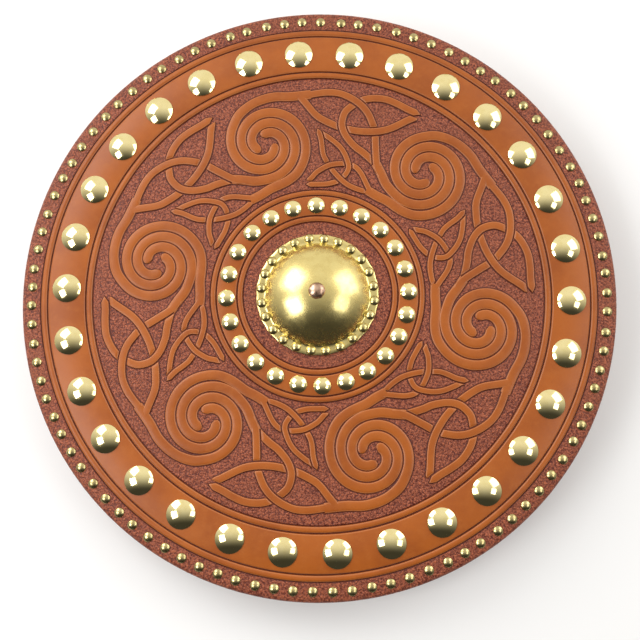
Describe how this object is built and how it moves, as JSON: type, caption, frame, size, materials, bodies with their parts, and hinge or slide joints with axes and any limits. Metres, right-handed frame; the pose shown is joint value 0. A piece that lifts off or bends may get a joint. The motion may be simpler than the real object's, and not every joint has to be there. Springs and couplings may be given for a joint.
{
  "type": "round targe shield",
  "caption": "Round wooden targe faced with tooled leather knotwork and spirals, with brass domed studs, rim nails, a central brass boss, and an arm strap and hand grip on the back.",
  "frame": {"origin": "on the ground under the shield's centre, the shield lying face up on its two back straps", "axes": "+Z is the outward normal of the face and the thin way of the shield; +X runs from the hand grip to the arm strap, along the wearer's forearm; +Y is up the face"},
  "size_m": [0.508, 0.508, 0.0725],
  "materials": {
    "board_wood": "bare sawn softwood boards, oiled",
    "face_leather": "tooled tan leather, dyed redder in the matted ground, waxed",
    "rim_brass": "antique brass nail heads, worn bright on the crowns",
    "boss_brass": "satin hand-raised sheet brass",
    "rivet_copper": "rough cast coppery rivet head, pitted",
    "stud_brass": "polished pale brass",
    "strap_leather": "plain brown harness leather with burnished edges"
  },
  "bodies": {
    "root": {"wooden_board": "board_wood", "leather_cover": "face_leather", "brass_boss": "boss_brass", "boss_rivet": "rivet_copper", "large_stud_01": "stud_brass", "large_stud_02": "stud_brass", "large_stud_03": "stud_brass", "large_stud_04": "stud_brass", "large_stud_05": "stud_brass", "large_stud_06": "stud_brass", "large_stud_07": "stud_brass", "large_stud_08": "stud_brass", "large_stud_09": "stud_brass", "large_stud_10": "stud_brass", "large_stud_11": "stud_brass", "large_stud_12": "stud_brass", "large_stud_13": "stud_brass", "large_stud_14": "stud_brass", "large_stud_15": "stud_brass", "large_stud_16": "stud_brass", "large_stud_17": "stud_brass", "large_stud_18": "stud_brass", "large_stud_19": "stud_brass", "large_stud_20": "stud_brass", "large_stud_21": "stud_brass", "large_stud_22": "stud_brass", "large_stud_23": "stud_brass", "large_stud_24": "stud_brass", "large_stud_25": "stud_brass", "large_stud_26": "stud_brass", "large_stud_27": "stud_brass", "large_stud_28": "stud_brass", "large_stud_29": "stud_brass", "large_stud_30": "stud_brass", "inner_stud_01": "stud_brass", "inner_stud_02": "stud_brass", "inner_stud_03": "stud_brass", "inner_stud_04": "stud_brass", "inner_stud_05": "stud_brass", "inner_stud_06": "stud_brass", "inner_stud_07": "stud_brass", "inner_stud_08": "stud_brass", "inner_stud_09": "stud_brass", "inner_stud_10": "stud_brass", "inner_stud_11": "stud_brass", "inner_stud_12": "stud_brass", "inner_stud_13": "stud_brass", "inner_stud_14": "stud_brass", "inner_stud_15": "stud_brass", "inner_stud_16": "stud_brass", "inner_stud_17": "stud_brass", "inner_stud_18": "stud_brass", "inner_stud_19": "stud_brass", "inner_stud_20": "stud_brass", "inner_stud_21": "stud_brass", "inner_stud_22": "stud_brass", "inner_stud_23": "stud_brass", "inner_stud_24": "stud_brass", "arm_strap": "strap_leather", "hand_grip": "strap_leather"}
  },
  "joints": []
}
